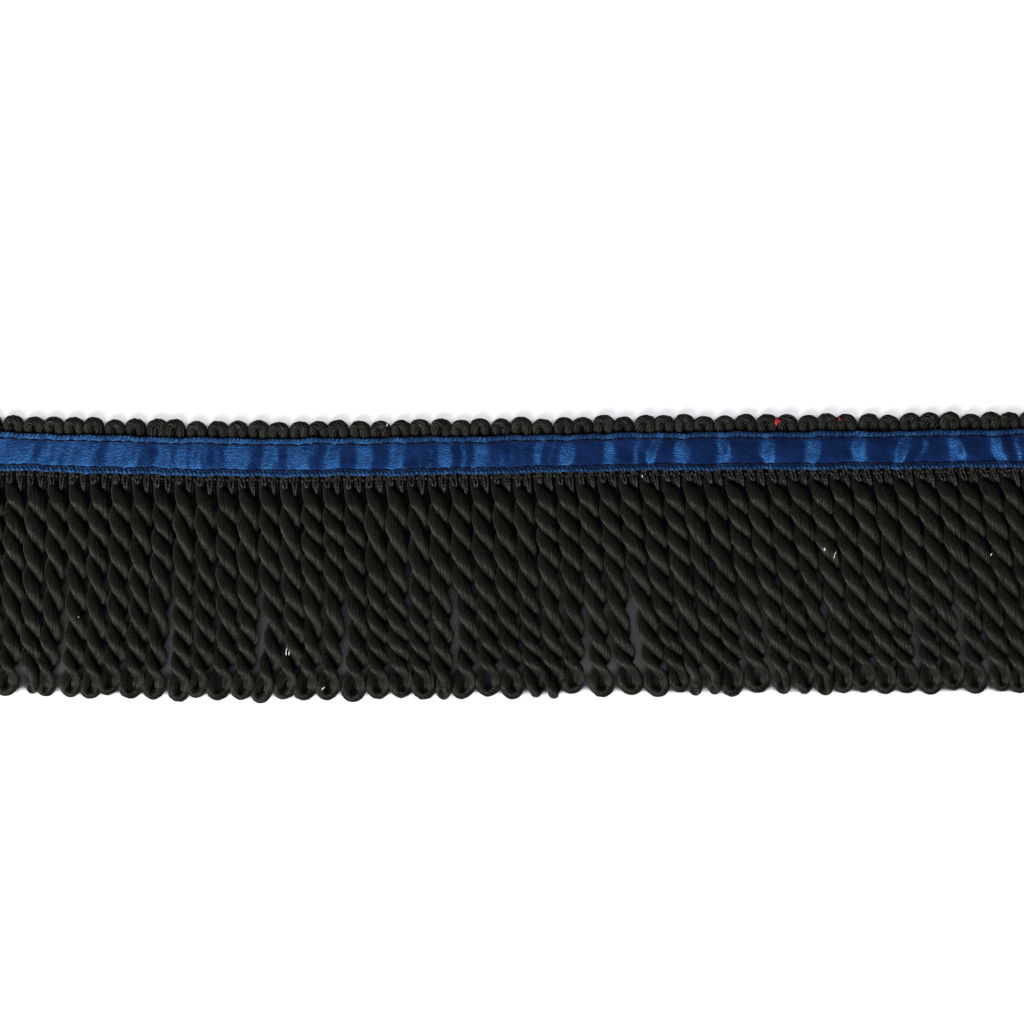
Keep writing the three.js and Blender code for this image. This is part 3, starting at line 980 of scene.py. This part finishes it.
def give_thickness(piece, thickness):
    """Thickens a sheet towards the floor."""
    solid = piece.modifiers.new("thickness", "SOLIDIFY")
    solid.thickness = thickness
    solid.offset = -1


class TRIM_OT_heading_ground(Operator):
    bl_idname = "trim.heading_ground"
    bl_label = "Heading Ground"

    def execute(self, context):
        sizes, colours = trim_settings(context)

        def lie(along, up):
            gap = 0.01 * MM
            height = np.full_like(along, sizes.ground_thickness + gap)
            return np.stack([along, up + rise_at(along), height], axis=1)

        low = TAPE_FOOT
        high = low + HEADING_DEPTH
        mesh = laid_sheet("heading_ground", sizes.length, low, high, 120, 8, lie)
        piece = place_piece("heading_ground", mesh, ground_finish(colours), "heading_tape")
        give_thickness(piece, sizes.ground_thickness)
        return {"FINISHED"}


# Ribbon


def ribbon_face(sizes, along, up):
    """The ribbon's face: puckers that rise to the right, sewn down along two lines, with raised edges."""
    start, crest, steep, lean, foot = np.array(PUCKERS).T
    places = np.ravel(np.stack([start, crest], axis=1)) * MM
    heights = np.ravel(np.stack([foot, foot + steep * (crest - start)], axis=1)) * MM
    leaned = along - np.interp(along, crest * MM, lean) * up
    leaned = leaned + 0.3 * MM * np.sin(up / MM * 0.9 + 2 * np.sin(along / MM * 0.21))
    sewn = np.clip(abs(up) / sizes.stitch_line, 0, 1)
    fullness = 0.95 + 0.15 * np.sin(along / MM * 0.37 - up / MM * 0.5)
    pucker = soft_ramps(leaned, places, heights, 2.0 * MM) * fullness * (1 - 0.5 * sewn**2.5)
    groove = 0.05 * MM * np.exp(-(((abs(up) - sizes.stitch_line) / (0.4 * MM)) ** 2))
    outer = np.where(up > 0, 0.22, -0.12) * MM
    edge = 0.1 * MM * soft_steps(abs(up), np.array([3.4, 4.1]) * MM, [0, 1])
    edge = edge + outer * soft_steps(abs(up), np.array([4.2, 5.2]) * MM, [0, 1])
    ripple = 0.03 * MM * np.sin(along / MM * 1.7 + 2 * np.sin(along / MM * 0.31)) * np.cos(up / MM * 0.5)
    z = sizes.ribbon_seat + pucker - groove + edge + ripple
    place = along / MM
    wander = 0.13 * np.sin(0.23 * place + 0.8 * np.sign(up)) + 0.12 * np.sin(0.61 * place + 2 * np.sign(up))
    wander = wander + 0.07 * np.sin(1.17 * place + np.sign(up))
    return np.stack([along, up + wander * abs(up) / 5 + rise_at(along), z], axis=-1)


class TRIM_OT_ribbon_selvedges(Operator):
    """Make the slanting floats along both edges of the ribbon"""

    bl_idname = "trim.ribbon_selvedges"
    bl_label = "Ribbon Selvedges"

    def execute(self, context):
        sizes, colours = trim_settings(context)
        chance = np.random.default_rng(SEED + 3)
        pile = YarnPile()
        count = int(sizes.length / sizes.float_pitch) - 1
        for side in (1, -1):
            for index in range(count):
                along = (index + 1) * sizes.float_pitch - sizes.length / 2
                along += jitter(chance, 0.12 * sizes.float_pitch)
                share = np.linspace(-1, 1, 6)
                x = along + sizes.float_slant * share * chance.uniform(0.6, 1.4)
                up = side * (sizes.float_line + sizes.float_reach * share * chance.uniform(0.8, 1.1))
                path = ribbon_face(sizes, x, up)
                path[:, 2] += 0.14 * MM * (1 - share**4) - 0.04 * MM
                thick = sizes.float_radius * round_ends(share) * chance.uniform(0.75, 1.1)
                rings = thread_rings(path, 0.9 * thick, thick, 6)
                pile.add(rings, chance.uniform())
        glint = (0.3, 0.52, 0.85)
        dark, light = colours.selvedge_dark, colours.selvedge_light
        finish = yarn_finish("blue_selvedge", dark, light, 0.36, 0.48, fibre=0.3, glint=glint, tones=0.7)
        mesh = pile.mesh("ribbon_selvedges")
        place_piece("ribbon_selvedges", mesh, finish, "satin_ribbon")
        return {"FINISHED"}


class TRIM_OT_ribbon_stitches(Operator):
    """Make the two lines of thread that sew the ribbon down"""

    bl_idname = "trim.ribbon_stitches"
    bl_label = "Ribbon Stitches"

    def execute(self, context):
        sizes, colours = trim_settings(context)
        pile = YarnPile()
        for side in (1, -1):
            end = sizes.length / 2 - 0.3 * MM
            along = np.arange(-end, end, 0.7 * MM)
            stitch = 2 * np.pi * along / sizes.stitch_length
            up = side * sizes.stitch_line + 0.09 * MM * np.sin(along / MM * 0.37 + side)
            path = ribbon_face(sizes, along, up)
            path[:, 2] += 0.13 * MM * np.sin(stitch) - 0.02 * MM
            thick = sizes.stitch_radius
            pile.add(thread_rings(path, thick, 1.1 * thick, 6), 0.5)
        finish = thread_finish("navy_stitching", colours.stitch, 0.06)
        mesh = pile.mesh("ribbon_stitches")
        place_piece("ribbon_stitches", mesh, finish, "satin_ribbon")
        return {"FINISHED"}


class TRIM_OT_satin_ribbon(Operator):
    bl_idname = "trim.satin_ribbon"
    bl_label = "Satin Ribbon"

    def execute(self, context):
        sizes, colours = trim_settings(context)
        half = sizes.ribbon_width / 2
        lie = partial(ribbon_face, sizes)
        mesh = laid_sheet("satin_ribbon", sizes.length, -half, half, 730, 30, lie)
        finish = satin_finish(sizes, colours)
        piece = place_piece("satin_ribbon_sheet", mesh, finish, "satin_ribbon")
        give_thickness(piece, sizes.ribbon_thickness)
        return {"FINISHED"}


class TRIM_OT_stray_fibres(Operator):
    """Make the few stray fibres caught on the yarn"""

    bl_idname = "trim.stray_fibres"
    bl_label = "Stray Fibres"

    def execute(self, context):
        colours = context.scene.trim_colours
        homes = {"red": ("scallop_edge", "black_gimp"), "lint": ("bullion_fringe", "black_yarn")}
        for colour, (node, slot) in homes.items():
            pile = YarnPile()
            for stray in (s for s in STRAYS if s.colour == colour):
                share = np.linspace(-1, 1, 8)
                turn = math.radians(stray.turn)
                bow = 0.06 * stray.length * (1 - share**2)
                x = stray.along + stray.length / 2 * share * math.cos(turn) - bow * math.sin(turn)
                y = stray.up + stray.length / 2 * share * math.sin(turn) + bow * math.cos(turn)
                ground = np.interp(stray.up, list(FACE_HEIGHTS), list(FACE_HEIGHTS.values()))
                path = np.stack([x, y, ground + 0.2 * (1 - share**2)], axis=1) * MM
                path[:, 1] += rise_at(path[:, 0])
                thick = stray.thick / 2 * MM * round_ends(share)
                pile.add(thread_rings(path, thick, thick, 6), 0.5)
            finish = thread_finish(f"{colour}_fibre", getattr(colours, colour), 0.2)
            place_piece(f"stray_{colour}", pile.mesh(f"stray_{colour}"), finish, node)
        return {"FINISHED"}


# Stage


def soft_light(name, direction, distance, width, height, power):
    """A soft light, taller than it is wide, that shines on the middle of the trim."""
    data = bpy.data.lights.new(name, "AREA")
    data.shape = "RECTANGLE"
    data.size = width
    data.size_y = height
    data.energy = power
    lamp = bpy.data.objects.new(name, data)
    aim = Vector(direction).normalized()
    lamp.location = aim * distance
    lamp.rotation_euler = aim.to_track_quat("Z", "Y").to_euler()
    bpy.context.scene.collection.objects.link(lamp)


class TRIM_OT_stage(Operator):
    """Make the floor, the soft light and the camera"""

    bl_idname = "trim.stage"
    bl_label = "Stage"

    def execute(self, context):
        scene = context.scene
        build = bmesh.new()
        bmesh.ops.create_grid(build, x_segments=1, y_segments=1, size=4.0)
        bmesh.ops.translate(build, verts=build.verts, vec=(1.5, -1.5, 0.0))
        mesh = bpy.data.meshes.new("floor")
        build.to_mesh(mesh)
        build.free()
        floor = bpy.data.objects.new("floor", mesh)
        scene.collection.objects.link(floor)
        mesh.materials.append(floor_finish(scene.trim_colours))

        direction = (-0.34, -0.64, 0.69)
        soft_light("key_light", direction, distance=1.2, width=0.44, height=0.72, power=33.0)
        world = bpy.data.worlds.new("studio")
        world.use_nodes = True
        background = world.node_tree.nodes["Background"]
        background.inputs["Color"].default_value = (0.94, 0.96, 1.0, 1.0)
        background.inputs["Strength"].default_value = 0.24
        scene.world = world
        scene.view_settings.view_transform = "Standard"

        camera = bpy.data.objects.new("camera", bpy.data.cameras.new("camera"))
        frame_width = 273.07 * MM
        frame_middle = -15.2 * MM
        distance = 0.65
        camera.data.sensor_width = 36
        camera.data.lens = camera.data.sensor_width * distance / frame_width
        camera.location = (0, frame_middle, distance)
        scene.collection.objects.link(camera)
        scene.camera = camera
        return {"FINISHED"}


MAKERS = (
    TRIM_OT_stage,
    TRIM_OT_bullion_cords,
    TRIM_OT_binding_threads,
    TRIM_OT_scallop_loops,
    TRIM_OT_heading_ground,
    TRIM_OT_ribbon_selvedges,
    TRIM_OT_ribbon_stitches,
    TRIM_OT_satin_ribbon,
    TRIM_OT_stray_fibres,
)


class TRIM_PT_sidebar(Panel):
    """Lists the trim's pieces"""

    bl_idname = "TRIM_PT_sidebar"
    bl_label = "Bullion Fringe Trim"
    bl_space_type = "VIEW_3D"
    bl_region_type = "UI"
    bl_category = "Trim"

    def draw(self, context):
        for maker in MAKERS:
            self.layout.operator(maker.bl_idname)


CLASSES = (TrimSizes, TrimColours, *MAKERS, TRIM_PT_sidebar)


def register():
    for made in CLASSES:
        bpy.utils.register_class(made)
    bpy.types.Scene.trim_sizes = PointerProperty(type=TrimSizes)
    bpy.types.Scene.trim_colours = PointerProperty(type=TrimColours)


def unregister():
    del bpy.types.Scene.trim_colours
    del bpy.types.Scene.trim_sizes
    for made in reversed(CLASSES):
        bpy.utils.unregister_class(made)


def main():
    register()
    for maker in MAKERS:
        group, name = maker.bl_idname.split(".")
        getattr(getattr(bpy.ops, group), name)()


if __name__ == "__main__":
    main()
